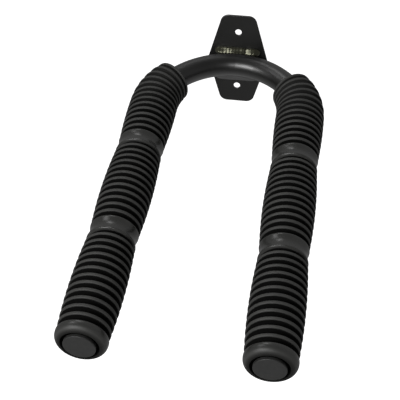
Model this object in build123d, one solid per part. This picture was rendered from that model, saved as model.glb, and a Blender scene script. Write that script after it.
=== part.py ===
from build123d import *
import os
from math import degrees, radians

# Wall-mounted U bar: one bent steel tube welded by its bend to a two-hole wall plate, a ribbed
# rubber sleeve pushed onto each arm, and a plastic plug in each open tube end.
#
# Row frame, in millimetres: the origin is the centre of the plate's back face, which lies on the
# wall in the plane y = 0. +Y points into the wall, +Z up, and the arms reach out along -Y.
#
# The tube, sleeves and plugs are first built in a flat bar frame: its origin is the tube's centre
# at the middle of the bend, the arms run along -Y, and +Z is the normal of the U.

# ---- driving dimensions ----
TUBE_RADIUS = 12.7
TUBE_WALL = 2.0
TUBE_HALF_LENGTH = 446.0
NOSE_RADIUS = 70.2
NOSE_TURN = 20.0
SIDE_RADIUS = 83.2
ARM_SPLAY = 0.46
ARM_SLOPE = 8.4

PLATE_THICKNESS = 2.5
PLATE_HALF_HEIGHT = 54.2
PLATE_HALF_WIDTH_MID = 34.0
PLATE_HALF_WIDTH_END = 18.2
PLATE_CORNER_RADIUS = 9.5
PLATE_WAIST_RADIUS = 4.0
PLATE_EDGE_ROUND = 0.4
HOLE_RADIUS = 3.75
HOLE_SPACING = 68.0

UPPER_WELD_HALF_LENGTH = 20.6
UPPER_WELD_RADIUS = 5.1
UPPER_WELD_HEIGHT = 11.4
UPPER_WELD_STANDOFF = 1.8
LOWER_WELD_HALF_LENGTH = 17.0
LOWER_WELD_RADIUS = 9.0
LOWER_WELD_HEIGHT = -15.3
LOWER_WELD_STANDOFF = 3.0

SLEEVE_START = 79.1
SLEEVE_END = 447.2
SLEEVE_BORE_RADIUS = 13.0
BORE_OVERCUT = 2.0
SECTION_PITCH = 122.9
SECTION_COUNT = 3
RIBS_PER_SECTION = 12
RIB_PITCH = 8.42
RIB_PITCH_ON_BEND = 9.25
RIBS_ON_BEND = 4
RIB_WIDTH = 4.2
RIB_CHAMFER = 1.2
GROOVE_DEPTH = 3.2
BARREL_RADIUS_MID = 25.7
BARREL_RADIUS_END = 23.7
LIP_RADIUS = 22.8
WAIST_RADIUS = 22.3
LAST_GROOVE_OF_FIRST_SECTION = 188.6
COLLAR_RADIUS = 24.0
COLLAR_ROUND = 5.0
MOUTH_RADIUS = 17.0
MOUTH_DEPTH = 3.6

PLUG_HEAD_RADIUS = 14.7
PLUG_HEAD_THICKNESS = 2.9
PLUG_EDGE_ROUND = 0.8
PLUG_STEM_RADIUS = 8.8
PLUG_STEM_LENGTH = 20.0
PLUG_FIN_RADIUS = 10.6
PLUG_FIN_THICKNESS = 1.2
PLUG_FIN_PITCH = 5.0
PLUG_FIN_COUNT = 3

# ---- worked out from them ----
NOSE_LENGTH = radians(NOSE_TURN) * NOSE_RADIUS
SIDE_LENGTH = radians(90 - ARM_SPLAY - NOSE_TURN) * SIDE_RADIUS
BEND_HALF_LENGTH = NOSE_LENGTH + SIDE_LENGTH
BAR_ON_WALL = Location((0, -(PLATE_THICKNESS + TUBE_RADIUS), 0), (ARM_SLOPE, 0, 0))
GROOVE_HALF_WIDTH = (RIB_PITCH - RIB_WIDTH) / 2


def on_right_arm(distance):
    """Location at a distance along the tube from the apex, its z along the tube's centre line.

    The centre line is a tighter nose arc at the plate, a wider side arc, then the straight arm.
    """
    place = Location((0, 0, 0), (0, 90, 0))
    for radius, length in ((NOSE_RADIUS, NOSE_LENGTH), (SIDE_RADIUS, SIDE_LENGTH)):
        run = min(distance, length)
        turn = Rotation(degrees(run / radius), 0, 0)
        place = place * Location((0, -radius, 0)) * turn * Location((0, radius, 0))
        distance -= run
    return place * Location((0, 0, distance))


def right_path(start, end):
    """Centre line of the right arm between two distances along the tube."""
    runs = []
    for low, high in ((0, NOSE_LENGTH), (NOSE_LENGTH, BEND_HALF_LENGTH), (BEND_HALF_LENGTH, end)):
        first, last = max(start, low), min(end, high)
        if last > first:
            points = [on_right_arm(s).position for s in (first, (first + last) / 2, last)]
            is_straight = low == BEND_HALF_LENGTH
            runs.append(Line(points[0], points[2]) if is_straight else ThreePointArc(*points))
    return Wire(runs)


def swept(start, end, radius):
    """Round bar of one radius that follows the right arm."""
    section = on_right_arm(start) * Circle(radius)
    return sweep(section, path=right_path(start, end))


# ---- steel frame ----
def make_tube():
    half = swept(0, TUBE_HALF_LENGTH, TUBE_RADIUS) - swept(0, TUBE_HALF_LENGTH, TUBE_RADIUS - TUBE_WALL)
    return BAR_ON_WALL * (half + mirror(half, about=Plane.YZ))


def make_plate():
    upper = [(-PLATE_HALF_WIDTH_END, PLATE_HALF_HEIGHT), (PLATE_HALF_WIDTH_END, PLATE_HALF_HEIGHT)]
    lower = [(PLATE_HALF_WIDTH_END, -PLATE_HALF_HEIGHT), (-PLATE_HALF_WIDTH_END, -PLATE_HALF_HEIGHT)]
    corners = [*upper, (PLATE_HALF_WIDTH_MID, 0), *lower, (-PLATE_HALF_WIDTH_MID, 0)]
    outline = make_face(Polyline(*corners, close=True))
    widest = outline.vertices().group_by(Axis.X)
    outline = fillet([*widest[0], *widest[-1]], PLATE_WAIST_RADIUS)
    tips = outline.vertices().group_by(Axis.Y)
    outline = fillet([*tips[0], *tips[-1]], PLATE_CORNER_RADIUS)
    holes = [Location((0, side * HOLE_SPACING / 2)) * Circle(HOLE_RADIUS) for side in (-1, 1)]
    plate = extrude(Plane.XZ * (outline - holes), PLATE_THICKNESS)
    rims = plate.edges().group_by(Axis.Y)
    return fillet([*rims[0], *rims[-1]], PLATE_EDGE_ROUND)


def make_wall_block():
    """Block that fills all the space behind the plate's front face, to trim the weld beads with."""
    size = 4 * PLATE_HALF_HEIGHT
    return Location((0, size / 2 - PLATE_THICKNESS, 0)) * Box(size, size, size)


def make_weld(half_length, radius, height, standoff):
    """Round-ended bead along the groove above or below the tube, not yet cut to tube and plate."""
    y = -(PLATE_THICKNESS + standoff)
    bead = Location((0, y, height), (0, 90, 0)) * Cylinder(radius, 2 * half_length)
    for end in (-1, 1):
        bead += Location((end * half_length, y, height)) * Sphere(radius)
    return bead


# ---- rubber sleeve ----
def last_groove(section):
    return LAST_GROOVE_OF_FIRST_SECTION + section * SECTION_PITCH


def first_groove(section):
    return last_groove(section) - RIBS_PER_SECTION * RIB_PITCH


def barrel_radius(distance, section):
    """Radius over the rib crests: each section swells like a barrel towards its middle."""
    half_length = (last_groove(section) - first_groove(section)) / 2
    off_middle = (distance - last_groove(section)) / half_length + 1
    return BARREL_RADIUS_MID - (BARREL_RADIUS_MID - BARREL_RADIUS_END) * off_middle ** 2


def floor_radius(distance, section):
    return barrel_radius(distance, section) - GROOVE_DEPTH


def rib_centres(section):
    """Distances of one section's ribs, from its outer end inwards; they spread on the bend."""
    centres = []
    groove = last_groove(section)
    for i in range(RIBS_PER_SECTION):
        on_bend = section == 0 and i >= RIBS_PER_SECTION - RIBS_ON_BEND
        pitch = RIB_PITCH_ON_BEND if on_bend else RIB_PITCH
        centres.append(groove - pitch / 2)
        groove -= pitch
    return centres


def make_rib(distance, section):
    disc = Cylinder(barrel_radius(distance, section), RIB_WIDTH)
    rims = disc.edges().filter_by(GeomType.CIRCLE)
    return on_right_arm(distance) * chamfer(rims, RIB_CHAMFER)


def make_lip():
    """Short plain end of the sleeve, between its cut face and its first groove."""
    first_rib = rib_centres(0)[-1]
    width = first_rib - RIB_PITCH_ON_BEND / 2 - GROOVE_HALF_WIDTH - SLEEVE_START
    return on_right_arm(SLEEVE_START + width / 2) * Cylinder(LIP_RADIUS, width)


def make_straight_core():
    """Solid of revolution under the ribs of the straight arm: groove floors, waists and collar."""
    outline = []
    for section, smooth_radius in enumerate((WAIST_RADIUS, WAIST_RADIUS, COLLAR_RADIUS)):
        start = max(first_groove(section) - GROOVE_HALF_WIDTH, BEND_HALF_LENGTH)
        end = last_groove(section) + GROOVE_HALF_WIDTH
        floor = [(floor_radius(s, section), 0, s) for s in (start, (start + end) / 2, end)]
        outline.append(ThreePointArc(*floor))
        is_last = section == SECTION_COUNT - 1
        smooth_end = SLEEVE_END if is_last else first_groove(section + 1) - GROOVE_HALF_WIDTH
        middle = (smooth_radius, 0, (end + smooth_end) / 2)
        edge = BARREL_RADIUS_END
        outline.append(ThreePointArc((edge, 0, end), middle, (edge, 0, smooth_end)))
    steps = [Line(a @ 1, b @ 0) for a, b in zip(outline, outline[1:])]
    start, rim = outline[0] @ 0, outline[-1] @ 1
    back = Polyline(rim, (0, 0, rim.Z), (0, 0, start.Z), start)
    profile = make_face(Wire([*outline, *steps, *back.edges()]))
    core = revolve(profile, Axis.Z)
    rim_edge = core.edges().filter_by(GeomType.CIRCLE).sort_by(Axis.Z)[-1]
    core = fillet(rim_edge, COLLAR_ROUND)
    return on_right_arm(BEND_HALF_LENGTH) * Location((0, 0, -BEND_HALF_LENGTH)) * core


def make_right_sleeve():
    middle_of_bend_part = (SLEEVE_START + BEND_HALF_LENGTH) / 2
    bend_core = swept(SLEEVE_START, BEND_HALF_LENGTH, floor_radius(middle_of_bend_part, 0))
    ribs = [make_rib(s, section) for section in range(SECTION_COUNT) for s in rib_centres(section)]
    body = make_straight_core() + [bend_core, make_lip(), *ribs]
    bore = swept(SLEEVE_START - BORE_OVERCUT, SLEEVE_END + BORE_OVERCUT, SLEEVE_BORE_RADIUS)
    mouth = on_right_arm(SLEEVE_END) * Cylinder(MOUTH_RADIUS, 2 * MOUTH_DEPTH)
    return body - bore - mouth


# ---- end plug ----
def make_right_plug():
    head = Cylinder(PLUG_HEAD_RADIUS, PLUG_HEAD_THICKNESS, align=(Align.CENTER, Align.CENTER, Align.MIN))
    head = fillet(head.edges().sort_by(Axis.Z)[-1], PLUG_EDGE_ROUND)
    down = (Align.CENTER, Align.CENTER, Align.MAX)
    plug = head + Cylinder(PLUG_STEM_RADIUS, PLUG_STEM_LENGTH, align=down)
    for i in range(PLUG_FIN_COUNT):
        fin = Cylinder(PLUG_FIN_RADIUS, PLUG_FIN_THICKNESS, align=down)
        plug += Location((0, 0, -PLUG_FIN_PITCH * (i + 0.5))) * fin
    return on_right_arm(TUBE_HALF_LENGTH) * plug


# ---- assembly ----
tube = make_tube()
plate = make_plate()
solid_tube = BAR_ON_WALL * swept(0, BEND_HALF_LENGTH, TUBE_RADIUS)
solid_tube += mirror(solid_tube, about=Plane.YZ)
wall_block = make_wall_block()
upper_weld = make_weld(
    UPPER_WELD_HALF_LENGTH, UPPER_WELD_RADIUS, UPPER_WELD_HEIGHT, UPPER_WELD_STANDOFF
)
lower_weld = make_weld(
    LOWER_WELD_HALF_LENGTH, LOWER_WELD_RADIUS, LOWER_WELD_HEIGHT, LOWER_WELD_STANDOFF
)
right_sleeve = BAR_ON_WALL * make_right_sleeve()
right_plug = BAR_ON_WALL * make_right_plug()

parts = {
    "u_tube": tube,
    "wall_plate": plate,
    "upper_weld_bead": upper_weld - solid_tube - wall_block,
    "lower_weld_bead": lower_weld - solid_tube - wall_block,
    "right_sleeve": right_sleeve,
    "left_sleeve": mirror(right_sleeve, about=Plane.YZ),
    "right_end_plug": right_plug,
    "left_end_plug": mirror(right_plug, about=Plane.YZ),
}

os.makedirs("parts", exist_ok=True)
for name, shape in parts.items():
    export_step(shape, f"parts/{name}.step")
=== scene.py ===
"""Looks of a wall-mounted padded U bar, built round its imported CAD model.

The painted tube, plate and plugs are the CAD solids with procedural materials. The two ribbed
sleeves and the two weld beads are meshes made here, in metres, in the CAD model's own frame.
"""
import math

import bpy
from mathutils import Matrix, Vector, noise


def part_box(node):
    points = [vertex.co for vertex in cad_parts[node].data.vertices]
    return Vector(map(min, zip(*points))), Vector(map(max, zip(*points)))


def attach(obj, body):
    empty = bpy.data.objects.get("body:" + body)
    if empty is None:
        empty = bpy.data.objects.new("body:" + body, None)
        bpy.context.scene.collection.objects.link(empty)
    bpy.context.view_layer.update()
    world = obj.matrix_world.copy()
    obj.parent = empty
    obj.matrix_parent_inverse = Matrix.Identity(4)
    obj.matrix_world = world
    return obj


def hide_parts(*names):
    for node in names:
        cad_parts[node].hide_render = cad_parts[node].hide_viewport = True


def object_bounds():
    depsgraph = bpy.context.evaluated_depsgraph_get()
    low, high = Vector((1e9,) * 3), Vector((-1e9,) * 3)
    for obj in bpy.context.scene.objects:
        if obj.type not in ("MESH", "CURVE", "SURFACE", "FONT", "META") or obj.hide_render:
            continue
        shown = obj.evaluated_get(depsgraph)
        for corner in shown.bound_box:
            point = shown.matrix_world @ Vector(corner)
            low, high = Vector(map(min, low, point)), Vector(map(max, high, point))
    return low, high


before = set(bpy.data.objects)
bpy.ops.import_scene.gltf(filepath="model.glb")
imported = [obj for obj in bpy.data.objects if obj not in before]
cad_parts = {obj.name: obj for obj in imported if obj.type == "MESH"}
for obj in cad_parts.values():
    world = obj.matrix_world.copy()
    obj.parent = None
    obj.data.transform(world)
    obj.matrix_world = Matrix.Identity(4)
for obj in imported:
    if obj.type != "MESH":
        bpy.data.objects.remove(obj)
cad_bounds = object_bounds()
MM = 0.001

# ---- camera ----
CAMERA_PLACE = Vector((109.9, -975.9, 537.6)) * MM
CAMERA_TARGET = Vector((-8.1, -222.6, -37.4)) * MM
CAMERA_ROLL = math.radians(0.24)
CAMERA_LENS = 87.4
CAMERA_SENSOR = 36.0

# ---- the bar's own dimensions ----
TUBE_RADIUS = 12.7 * MM
ARM_SLOPE = math.radians(8.4)
PLATE_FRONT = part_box("wall_plate")[0].y
NOSE_RADIUS = 70.2 * MM
NOSE_TURN = math.radians(20)
SIDE_RADIUS = 83.2 * MM
ARM_SPLAY = math.radians(0.46)

SLEEVE_START = 79.1 * MM
SLEEVE_END = 447.2 * MM
SLEEVE_BORE = 13.0 * MM
SECTION_PITCH = 122.9 * MM
SECTION_COUNT = 3
RIBS_PER_SECTION = 12
RIB_PITCH = 8.42 * MM
RIB_PITCH_ON_BEND = 9.25 * MM
RIBS_ON_BEND = 4
RIB_HALF_WIDTH = 1.85 * MM
RIB_SQUARENESS = 3.6
GROOVE_DEPTH = 3.2 * MM
FIRST_GROOVE_SHARE = 0.42
RIBS_STRETCHED = 8
BARREL_RADIUS_MID = 25.7 * MM
BARREL_RADIUS_END = 23.7 * MM
WAIST_RADIUS = 22.3 * MM
FIRST_SECTION_END = 188.6 * MM
COLLAR_RADIUS = 24.0 * MM
COLLAR_ROLL_LENGTH = 7.5 * MM
SHOULDER_WIDTH = 0.9 * MM
WAIST_ROUNDNESS = 1.3
MOUTH_RADIUS = 17.0 * MM
MOUTH_DEPTH = 3.6 * MM
MOUTH_LIP = 0.8 * MM
START_LIP_RADIUS = 22.8 * MM
BORE_CHAMFER = 0.4 * MM

# The sleeve's crest value says what its surface is: 0 a groove, 1 the top of a rib, 2 a smooth band.
# Below 1 it is also painted shade: the colour darkens towards near black in the grooves, on the ribs'
# sides, at the cut end and in the mouth.
GROOVE, RIB_TOP, SMOOTH = 0.0, 1.0, 2.0
# Painted shade on the rib sides: the crest value falls from 1 to 0 as a rib's rise drops from 0.9 to
# 0.6.
CREST_FROM_RISE = 0.6
CREST_OVER_RISE = 0.3
# Painted shade on the collar's rolled face: its crest value where the face meets the mouth.
COLLAR_FACE_SHADE_CREST = 0.25

# ---- how finely the meshes are cut ----
SLEEVE_SIDES = 96
RIB_STEPS = 10
SHOULDER_STEPS = 4
WAIST_STEPS = 14
COLLAR_STEPS = 12
LIP_STEPS = 3
BORE_STATIONS = 40
WELD_SIDES = 48
WELD_RINGS = 160

# ---- weld beads ----
UPPER_WELD = {
    "half_length": 25.7 * MM,
    "radius": 5.1 * MM,
    "height": 11.4 * MM,
    "standoff": 1.8 * MM,
    "unevenness": 1.0,
}
LOWER_WELD = {
    "half_length": 26.0 * MM,
    "radius": 9.5 * MM,
    "height": -15.3 * MM,
    "standoff": 3.0 * MM,
    "unevenness": 0.2,
}
WELD_RIPPLE_PITCH = 3.6 * MM
WELD_RIPPLE_DEPTH = 0.012
WELD_WANDER_PER_METRE = 90
WELD_WANDER_DEPTH = 0.04
WELD_JOIN = 9.6 * MM
WELD_JOIN_WIDTH = 2.4 * MM
WELD_JOIN_DEPTH = 0.14
WELD_FULLNESS = 0.97
WELD_TAPER_POWER = 7
WELD_PASS_LENGTH = 24.0 * MM
WELD_SHIFT = 1.6 * MM
WELD_FACE_TILT = math.radians(29)
WELD_FACE_SWING = math.radians(5)
WELD_SWING_PER_METRE = 110
WELD_SWING_SEED = 3.7
WELD_FACE_FLATNESS = 0.72
WELD_FACE_LEAST = 0.1

# ---- studio ----
FLOOR_DROP = 1.2
FLOOR_HALF_WIDTH = 4.0
FLOOR_WHITE = 0.9
FLOOR_ROUGHNESS = 0.9
FLOOR_GLOW = 1.0
GLOW_RIGHT_BACK_TOP = (0.30, 0.06, 0.03)
GLOW_LEFT_FRONT_BELOW = (0.16, 0.06, 0.54)
GLOW_HIGH_BACK = 0.30
HIGH_BACK_DIRECTION = (0.0, 0.8, 0.6)
SOFTBOX_DISTANCE = 1.6
# name: azimuth and elevation in degrees, width and height in metres, power in watts
SOFTBOXES = {
    "front_softbox": (-27, 27, (1.1, 0.6), 19),
    "side_softbox": (-101, 51, (0.4, 0.4), 1.3),
    "back_softbox": (-150, 54, (0.5, 0.4), 1.6),
}

# ---- colours: the darker and the lighter of the two that the surface drifts between ----
PAINT_COLOURS = (0.004, 0.004, 0.0036), (0.007, 0.007, 0.0062)
WELD_COLOURS = (0.020, 0.020, 0.014), (0.032, 0.032, 0.022)
RIB_COLOURS = (0.044, 0.044, 0.042), (0.058, 0.058, 0.055)
# painted shade: near black colour for the grooves, the ribs' sides, the cut end and the mouth round
# the plug
GROOVE_PAINTED_SHADE_COLOUR = (0.003, 0.003, 0.0028)
SMOOTH_BAND_COLOUR = (0.027, 0.027, 0.025)
PLUG_COLOURS = (0.011, 0.011, 0.0105), (0.015, 0.015, 0.014)


# ---- camera, floor and light ----
def make_camera():
    data = bpy.data.cameras.new("camera")
    data.sensor_width = CAMERA_SENSOR
    data.lens = CAMERA_LENS
    camera = bpy.data.objects.new("camera", data)
    bpy.context.scene.collection.objects.link(camera)
    look = (CAMERA_TARGET - CAMERA_PLACE).to_track_quat("-Z", "Y").to_matrix()
    turned = look @ Matrix.Rotation(CAMERA_ROLL, 3, "Z")
    camera.matrix_world = Matrix.Translation(CAMERA_PLACE) @ turned.to_4x4()
    bpy.context.scene.camera = camera


def make_floor():
    mesh = bpy.data.meshes.new("floor")
    half = FLOOR_HALF_WIDTH
    outline = (-half, -half), (half, -half), (half, half), (-half, half)
    mesh.from_pydata([(x, y, -FLOOR_DROP) for x, y in outline], [], [(0, 1, 2, 3)])
    floor = bpy.data.objects.new("floor", mesh)
    bpy.context.scene.collection.objects.link(floor)
    material = new_material("floor_white")
    shader = material.node_tree.nodes["Principled BSDF"]
    shader.inputs["Base Color"].default_value = (FLOOR_WHITE, FLOOR_WHITE, FLOOR_WHITE, 1)
    shader.inputs["Roughness"].default_value = FLOOR_ROUGHNESS
    shader.inputs["Emission Color"].default_value = (1, 1, 1, 1)
    shader.inputs["Emission Strength"].default_value = FLOOR_GLOW
    mesh.materials.append(material)
    floor.visible_diffuse = False
    floor.visible_glossy = False


def make_softbox(name, target, azimuth, elevation, size, power):
    """Area light that faces the target from an azimuth (0 in front, 90 to the right) and elevation."""
    a, e = math.radians(azimuth), math.radians(elevation)
    away = Vector((math.sin(a) * math.cos(e), -math.cos(a) * math.cos(e), math.sin(e)))
    data = bpy.data.lights.new(name, "AREA")
    data.shape = "RECTANGLE"
    data.size, data.size_y = size
    data.energy = power
    light = bpy.data.objects.new(name, data)
    bpy.context.scene.collection.objects.link(light)
    light.location = target + away * SOFTBOX_DISTANCE
    light.rotation_mode = "QUATERNION"
    light.rotation_quaternion = (-away).to_track_quat("-Z", "Y")
    light.visible_camera = False


def make_world():
    """White to the camera; to the object a studio that glows by its own amount on each side."""
    world = bpy.data.worlds.new("studio")
    bpy.context.scene.world = world
    world.use_nodes = True
    tree = world.node_tree
    direction = tree.nodes.new("ShaderNodeTexCoord").outputs["Generated"]
    halves = []
    for sign, glow in ((1, GLOW_RIGHT_BACK_TOP), (-1, GLOW_LEFT_FRONT_BELOW)):
        signed = vector_math(tree, "MULTIPLY", direction, (sign, sign, sign))
        towards = vector_math(tree, "MAXIMUM", signed, (0, 0, 0))
        squared = vector_math(tree, "MULTIPLY", towards, towards)
        halves.append(vector_math(tree, "DOT_PRODUCT", squared, glow))
    facing = vector_math(tree, "DOT_PRODUCT", direction, HIGH_BACK_DIRECTION)
    facing = number_math(tree, "MAXIMUM", facing, 0.0)
    facing = number_math(tree, "POWER", facing, 2.0)
    high_back = number_math(tree, "MULTIPLY", facing, GLOW_HIGH_BACK)
    total = number_math(tree, "ADD", number_math(tree, "ADD", *halves), high_back)
    strength = tree.nodes.new("ShaderNodeMix")
    strength.inputs["B"].default_value = 1.0
    light_path = tree.nodes.new("ShaderNodeLightPath")
    tree.links.new(light_path.outputs["Is Camera Ray"], strength.inputs["Factor"])
    tree.links.new(total, strength.inputs["A"])
    background = tree.nodes["Background"]
    background.inputs["Color"].default_value = (1, 1, 1, 1)
    tree.links.new(strength.outputs["Result"], background.inputs["Strength"])


def math_node(tree, kind, operation, first, second):
    """Node that works on a socket and on a second socket or a fixed value."""
    node = tree.nodes.new(kind)
    node.operation = operation
    tree.links.new(first, node.inputs[0])
    if isinstance(second, bpy.types.NodeSocket):
        tree.links.new(second, node.inputs[1])
    else:
        node.inputs[1].default_value = second
    return node


def vector_math(tree, operation, first, second):
    node = math_node(tree, "ShaderNodeVectorMath", operation, first, second)
    return node.outputs["Value" if operation == "DOT_PRODUCT" else "Vector"]


def number_math(tree, operation, first, second):
    return math_node(tree, "ShaderNodeMath", operation, first, second).outputs["Value"]


# ---- materials ----
def new_material(name):
    material = bpy.data.materials.new(name)
    material.use_nodes = True
    return material


class Nodes:
    """Short way to add and link the nodes of one material."""

    def __init__(self, name):
        self.material = new_material(name)
        self.tree = self.material.node_tree
        self.shader = self.tree.nodes["Principled BSDF"]
        self.place = self.add("ShaderNodeTexCoord").outputs["Object"]

    def drive(self, socket, value):
        """Link a node's output to one of the shader's sockets."""
        self.link(value, self.shader.inputs[socket])

    def fix(self, socket, value):
        self.shader.inputs[socket].default_value = value

    def add(self, kind, **settings):
        node = self.tree.nodes.new(kind)
        for key, value in settings.items():
            setattr(node, key, value)
        return node

    def link(self, start, end):
        self.tree.links.new(start, end)

    def noise(self, scale, detail=3.0, roughness=0.5):
        node = self.add("ShaderNodeTexNoise")
        node.inputs["Scale"].default_value = scale
        node.inputs["Detail"].default_value = detail
        node.inputs["Roughness"].default_value = roughness
        self.link(self.place, node.inputs["Vector"])
        return node.outputs["Fac"]

    def spread(self, value, low, high, from_low=0.3, from_high=0.7):
        """The value, stretched from one range to another; noise lies mostly between 0.3 and 0.7."""
        node = self.add("ShaderNodeMapRange")
        node.inputs["From Min"].default_value = from_low
        node.inputs["From Max"].default_value = from_high
        node.inputs["To Min"].default_value = low
        node.inputs["To Max"].default_value = high
        self.link(value, node.inputs["Value"])
        return node.outputs["Result"]

    def drift(self, scale, detail, colours):
        """Colour that drifts between two over patches of the noise's size."""
        return self.blend(self.spread(self.noise(scale, detail), 0, 1), *colours)

    def blend(self, factor, colour_a, colour_b):
        node = self.add("ShaderNodeMix", data_type="RGBA")
        self.link(factor, node.inputs["Factor"])
        for socket, colour in (("A", colour_a), ("B", colour_b)):
            target = next(s for s in node.inputs if s.name == socket and s.type == "RGBA")
            if isinstance(colour, bpy.types.NodeSocket):
                self.link(colour, target)
            else:
                target.default_value = (*colour, 1)
        return next(s for s in node.outputs if s.type == "RGBA")

    def bump(self, height, strength, distance, under=None):
        node = self.add("ShaderNodeBump")
        node.inputs["Strength"].default_value = strength
        node.inputs["Distance"].default_value = distance
        self.link(height, node.inputs["Height"])
        if under is not None:
            self.link(under, node.inputs["Normal"])
        return node.outputs["Normal"]

    def attribute(self, name):
        return self.add("ShaderNodeAttribute", attribute_name=name).outputs["Fac"]


def paint_material():
    n = Nodes("satin_black_paint")
    n.drive("Base Color", n.drift(18, 4, PAINT_COLOURS))
    n.drive("Roughness", n.spread(n.noise(60, 5), 0.32, 0.38))
    peel = n.bump(n.noise(520, 2), 0.06, 0.0002)
    n.drive("Normal", n.bump(n.noise(2600, 2), 0.08, 0.00004, peel))
    n.fix("Specular IOR Level", 1.0)
    return n.material


def weld_material():
    n = Nodes("painted_weld")
    n.drive("Base Color", n.drift(120, 3, WELD_COLOURS))
    n.drive("Roughness", n.spread(n.noise(300, 4), 0.19, 0.27))
    n.drive("Normal", n.bump(n.noise(900, 3), 0.12, 0.0002))
    n.fix("Specular IOR Level", 0.72)
    n.fix("Specular Tint", (1.0, 1.0, 0.74, 1))
    return n.material


def rubber_material():
    """Painted shade makes it near black in the grooves and mouth, where it is dull; lighter on the
    ribs, glossy on the smooth bands.
    """
    n = Nodes("moulded_rubber")
    crest_and_shade = n.attribute("crest_and_shade")
    # painted shade: the lower the crest value, the nearer the colour comes to the near black groove
    # colour
    rib = n.blend(crest_and_shade, GROOVE_PAINTED_SHADE_COLOUR, n.drift(45, 4, RIB_COLOURS))
    smooth = n.spread(crest_and_shade, 0, 1, RIB_TOP, SMOOTH)
    n.drive("Base Color", n.blend(smooth, rib, SMOOTH_BAND_COLOUR))
    n.drive("Roughness", n.spread(crest_and_shade, 0.85, 0.27, GROOVE, SMOOTH))
    n.drive("Specular IOR Level", n.spread(crest_and_shade, 0.05, 0.75, GROOVE, SMOOTH))
    n.drive("Normal", n.bump(n.noise(1500, 3, 0.6), 0.22, 0.00012))
    return n.material


def plug_material():
    n = Nodes("matte_plug_plastic")
    n.drive("Base Color", n.drift(70, 4, PLUG_COLOURS))
    n.drive("Roughness", n.spread(n.noise(200, 3), 0.55, 0.66))
    n.drive("Normal", n.bump(n.noise(3200, 2), 0.3, 0.00005))
    n.fix("Specular IOR Level", 0.8)
    return n.material


def paint_cad_node(node, material):
    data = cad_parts[node].data
    data.materials.clear()
    data.materials.append(material)


# ---- mesh helpers ----
def add_piece(name, vertices, faces, material, node):
    mesh = bpy.data.meshes.new(name)
    mesh.from_pydata(vertices, [], faces)
    mesh.validate()
    mesh.shade_smooth()
    mesh.materials.append(material)
    piece = bpy.data.objects.new(name, mesh)
    bpy.context.scene.collection.objects.link(piece)
    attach(piece, "root")
    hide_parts(node)
    return piece


def ring_faces(ring_count, sides, closed):
    """Quads between neighbouring rings of vertices; closed joins the last ring to the first."""
    faces = []
    for i in range(ring_count if closed else ring_count - 1):
        j = (i + 1) % ring_count
        for k in range(sides):
            m = (k + 1) % sides
            faces.append((i * sides + k, i * sides + m, j * sides + m, j * sides + k))
    return faces


# ---- ribbed sleeve ----
BAR_TURN = Matrix.Rotation(ARM_SLOPE, 3, "X")
BAR_APEX = Vector((0, PLATE_FRONT - TUBE_RADIUS, 0))
BEND_ARCS = ((NOSE_RADIUS, NOSE_TURN), (SIDE_RADIUS, math.pi / 2 - ARM_SPLAY - NOSE_TURN))


def arm_frame(distance, side):
    """Centre, outward direction and U-plane normal of one arm, at a distance along its tube."""
    centre, turned = Vector((0, 0, 0)), 0.0
    for radius, turn in BEND_ARCS:
        step = min(distance / radius, turn)
        across = math.sin(turned + step) - math.sin(turned)
        back = math.cos(turned + step) - math.cos(turned)
        centre += radius * Vector((across, back, 0))
        turned += step
        distance -= step * radius
    centre += distance * Vector((math.cos(turned), -math.sin(turned), 0))
    outward = Vector((math.sin(turned), math.cos(turned), 0))
    flip = Matrix.Diagonal((side, 1, 1))
    return BAR_APEX + BAR_TURN @ flip @ centre, BAR_TURN @ flip @ outward, BAR_TURN @ Vector((0, 0, 1))


def section_span(section):
    """Distances of a section's first and last groove centres."""
    last = FIRST_SECTION_END + section * SECTION_PITCH
    stretched = RIBS_ON_BEND if section == 0 else 0
    length = (RIBS_PER_SECTION - stretched) * RIB_PITCH + stretched * RIB_PITCH_ON_BEND
    return last - length, last


def barrel_radius(distance, section):
    last = FIRST_SECTION_END + section * SECTION_PITCH
    half = RIBS_PER_SECTION * RIB_PITCH / 2
    off_middle = (distance - last + half) / half
    return BARREL_RADIUS_MID - (BARREL_RADIUS_MID - BARREL_RADIUS_END) * off_middle ** 2


def groove_depth(section, rib):
    """Grooves are stretched shallow at the wall end, where the sleeve goes round the bend."""
    if section > 0:
        return GROOVE_DEPTH
    share = FIRST_GROOVE_SHARE + (1 - FIRST_GROOVE_SHARE) * rib / RIBS_STRETCHED
    return GROOVE_DEPTH * min(1.0, share)


def rib_profile(groove, pitch, section, depth):
    """Points (distance, radius, crest) over one rib, from the groove before it to the one after."""
    half = RIB_HALF_WIDTH * pitch / RIB_PITCH
    middle = groove + pitch / 2
    # painted shade on the groove floor, lighter the shallower the groove
    floor_crest_and_shade = 0.5 * (1 - depth / GROOVE_DEPTH)
    points = [(groove, barrel_radius(groove, section) - depth, floor_crest_and_shade)]
    for i in range(RIB_STEPS + 1):
        across = -math.cos(math.pi * i / RIB_STEPS)
        rise = (1 - abs(across) ** RIB_SQUARENESS) ** (1 / RIB_SQUARENESS)
        distance = middle + across * half
        radius = barrel_radius(distance, section) - depth * (1 - rise)
        # painted shade darkening the rib's sides towards the groove
        crest_and_shade = (rise - CREST_FROM_RISE) / CREST_OVER_RISE
        points.append((distance, radius, min(RIB_TOP, max(floor_crest_and_shade, crest_and_shade))))
    return points


def section_profile(section):
    points = []
    groove = section_span(section)[0]
    for i in range(RIBS_PER_SECTION):
        pitch = RIB_PITCH_ON_BEND if section == 0 and i < RIBS_ON_BEND else RIB_PITCH
        points += rib_profile(groove, pitch, section, groove_depth(section, i))
        groove += pitch
    points.append((groove, barrel_radius(groove, section) - GROOVE_DEPTH, GROOVE))
    return points


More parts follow.
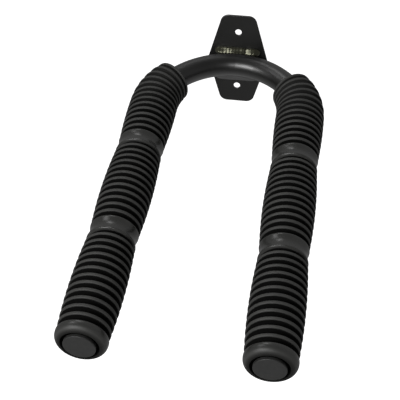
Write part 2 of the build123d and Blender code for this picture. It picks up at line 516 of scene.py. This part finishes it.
def shoulder(distance, rising):
    """Points of a soft shoulder between a groove floor and a smooth surface."""
    floor = BARREL_RADIUS_END - GROOVE_DEPTH
    points = []
    for i in range(SHOULDER_STEPS + 1):
        t = math.pi / 2 * i / SHOULDER_STEPS
        rise = math.sin(t) if rising else math.cos(t)
        run = (1 - math.cos(t)) if rising else math.sin(t)
        radius = floor + (BARREL_RADIUS_END - floor) * rise
        # painted shade: darker down the shoulder into the groove
        points.append((distance + run * SHOULDER_WIDTH, radius, SMOOTH * rise))
    return points


def waist_profile(section):
    """Smooth concave band between two sections."""
    groove_half = RIB_PITCH / 2 - RIB_HALF_WIDTH
    start = section_span(section)[1] + groove_half
    end = section_span(section + 1)[0] - groove_half
    points = shoulder(start, True)
    for i in range(1, WAIST_STEPS):
        t = i / WAIST_STEPS
        dip = math.sin(math.pi * t) ** WAIST_ROUNDNESS
        distance = start + SHOULDER_WIDTH + (end - start - 2 * SHOULDER_WIDTH) * t
        radius = BARREL_RADIUS_END - (BARREL_RADIUS_END - WAIST_RADIUS) * dip
        points.append((distance, radius, SMOOTH))
    return points + shoulder(end - SHOULDER_WIDTH, False)


def collar_profile():
    """Smooth end band that rolls over into the mouth round the plug."""
    start = section_span(SECTION_COUNT - 1)[1] + RIB_PITCH / 2 - RIB_HALF_WIDTH
    points = shoulder(start, True)
    roll_start = SLEEVE_END - COLLAR_ROLL_LENGTH
    points.append(((start + roll_start) / 2, COLLAR_RADIUS, SMOOTH))
    lip_radius = MOUTH_RADIUS + MOUTH_LIP
    for i in range(COLLAR_STEPS + 1):
        t = math.pi / 2 * i / COLLAR_STEPS
        distance = roll_start + (SLEEVE_END - roll_start) * math.sin(t)
        radius = lip_radius + (COLLAR_RADIUS - lip_radius) * math.cos(t)
        # painted shade: the rolled face darkens towards the mouth
        crest_and_shade = COLLAR_FACE_SHADE_CREST + (SMOOTH - COLLAR_FACE_SHADE_CREST) * math.cos(t) ** 2
        points.append((distance, radius, crest_and_shade))
    # painted shade: the lip and the mouth round the plug are near black
    for i in range(1, LIP_STEPS + 1):
        t = math.pi / 2 * i / LIP_STEPS
        inward = MOUTH_RADIUS + MOUTH_LIP * (1 - math.sin(t))
        points.append((SLEEVE_END - MOUTH_LIP * (1 - math.cos(t)), inward, GROOVE))
    mouth_floor = SLEEVE_END - MOUTH_DEPTH
    points += [(mouth_floor, MOUTH_RADIUS, GROOVE), (mouth_floor, SLEEVE_BORE, GROOVE)]
    return points


def start_profile():
    """Cut end of the sleeve: bore edge, end face and the short lip before the first groove."""
    lip = START_LIP_RADIUS
    lip_end = section_span(0)[0] - (RIB_PITCH / 2 - RIB_HALF_WIDTH)
    return [
        # painted shade: the colour darkens from the lip across the cut end face to the bore edge
        (SLEEVE_START + BORE_CHAMFER, SLEEVE_BORE, GROOVE),
        (SLEEVE_START, SLEEVE_BORE + BORE_CHAMFER, 0.2),
        (SLEEVE_START, lip - 0.8 * MM, 0.6),
        (SLEEVE_START + 0.25 * MM, lip - 0.2 * MM, 0.9),
        (SLEEVE_START + 0.9 * MM, lip, RIB_TOP),
        (lip_end - 0.7 * MM, lip, RIB_TOP),
        (lip_end - 0.15 * MM, lip - 0.5 * MM, 0.8),
        (lip_end, BARREL_RADIUS_END - GROOVE_DEPTH, GROOVE),
    ]


def sleeve_profile():
    """Closed outline (distance, radius, crest) of half a sleeve cut lengthwise."""
    points = start_profile()
    for section in range(SECTION_COUNT):
        points += section_profile(section)
        points += waist_profile(section) if section < SECTION_COUNT - 1 else collar_profile()
    near, far = SLEEVE_START + BORE_CHAMFER, SLEEVE_END - MOUTH_DEPTH
    # painted shade: the bore is given the near black groove colour too
    for i in range(1, BORE_STATIONS):
        t = i / BORE_STATIONS
        points.append((far + (near - far) * t, SLEEVE_BORE, GROOVE))
    return points


def make_sleeve(name, side, material):
    vertices, crest_and_shade_values = [], []
    for distance, radius, crest_and_shade in sleeve_profile():
        centre, outward, normal = arm_frame(distance, side)
        for k in range(SLEEVE_SIDES):
            turn = side * 2 * math.pi * k / SLEEVE_SIDES
            vertices.append(centre + radius * (math.cos(turn) * outward + math.sin(turn) * normal))
            crest_and_shade_values.append(crest_and_shade)
    faces = ring_faces(len(vertices) // SLEEVE_SIDES, SLEEVE_SIDES, True)
    piece = add_piece(name + "_ribbed", vertices, faces, material, name)
    layer = piece.data.attributes.new("crest_and_shade", "FLOAT", "POINT")
    layer.data.foreach_set("value", crest_and_shade_values)


# ---- weld beads ----
def tube_centre_at(x):
    sag = NOSE_RADIUS - math.sqrt(NOSE_RADIUS ** 2 - x ** 2)
    return BAR_APEX + BAR_TURN @ Vector((x, -sag, 0))


def clear_of_tube(point):
    """The point itself, or if it lies inside the tube, the nearest one on the tube's surface."""
    centre = tube_centre_at(point.x)
    arm = point - centre
    arm.x = 0
    if arm.length >= TUBE_RADIUS:
        return point
    moved = centre + arm.normalized() * TUBE_RADIUS
    moved.x = point.x
    return moved


def make_weld(name, half_length, radius, height, standoff, unevenness, material):
    """Rippled bead in the groove between tube and plate, trimmed to both."""
    side = math.copysign(1, height)
    vertices = []
    for i in range(WELD_RINGS):
        along = -math.cos(math.pi * i / (WELD_RINGS - 1))
        x = along * half_length
        taper = (1 - abs(along) ** WELD_TAPER_POWER) ** (1 / 2)
        ripple = math.sin(2 * math.pi * x / WELD_RIPPLE_PITCH)
        dip = math.exp(-((x - WELD_JOIN) / WELD_JOIN_WIDTH) ** 2)
        swing = 1 + math.cos(2 * math.pi * (x - WELD_SHIFT) / WELD_PASS_LENGTH)
        swing += noise.noise(Vector((x * WELD_SWING_PER_METRE, WELD_SWING_SEED, side)))
        tilt = WELD_FACE_TILT + unevenness * WELD_FACE_SWING * swing
        for k in range(WELD_SIDES):
            turn = 2 * math.pi * k / WELD_SIDES
            sample = (x * WELD_WANDER_PER_METRE, math.cos(turn), side * 7 + math.sin(turn))
            wander = noise.noise(Vector(sample))
            off_face = math.cos(turn - side * (math.pi - tilt))
            face = min(1.0, WELD_FACE_FLATNESS / max(off_face, WELD_FACE_LEAST))
            relief = WELD_RIPPLE_DEPTH * ripple + WELD_WANDER_DEPTH * wander - WELD_JOIN_DEPTH * dip
            reach = radius * taper * face * (WELD_FULLNESS + unevenness * relief)
            y = PLATE_FRONT - standoff + reach * math.cos(turn)
            z = height + reach * math.sin(turn)
            vertices.append(clear_of_tube(Vector((x, min(y, PLATE_FRONT), z))))
    faces = ring_faces(WELD_RINGS, WELD_SIDES, False)
    faces.append(tuple(range(WELD_SIDES))[::-1])
    faces.append(tuple(range((WELD_RINGS - 1) * WELD_SIDES, WELD_RINGS * WELD_SIDES)))
    add_piece(name + "_rippled", vertices, faces, material, name)


# ---- scene ----
make_camera()
make_world()
make_floor()
bar_middle = (cad_bounds[0] + cad_bounds[1]) / 2
for softbox_name, settings in SOFTBOXES.items():
    make_softbox(softbox_name, bar_middle, *settings)
bpy.context.scene.view_settings.view_transform = "Standard"

paint = paint_material()
paint_cad_node("u_tube", paint)
paint_cad_node("wall_plate", paint)
plug_plastic = plug_material()
paint_cad_node("left_end_plug", plug_plastic)
paint_cad_node("right_end_plug", plug_plastic)
rubber = rubber_material()
make_sleeve("left_sleeve", -1, rubber)
make_sleeve("right_sleeve", 1, rubber)
weld = weld_material()
make_weld("upper_weld_bead", **UPPER_WELD, material=weld)
make_weld("lower_weld_bead", **LOWER_WELD, material=paint)
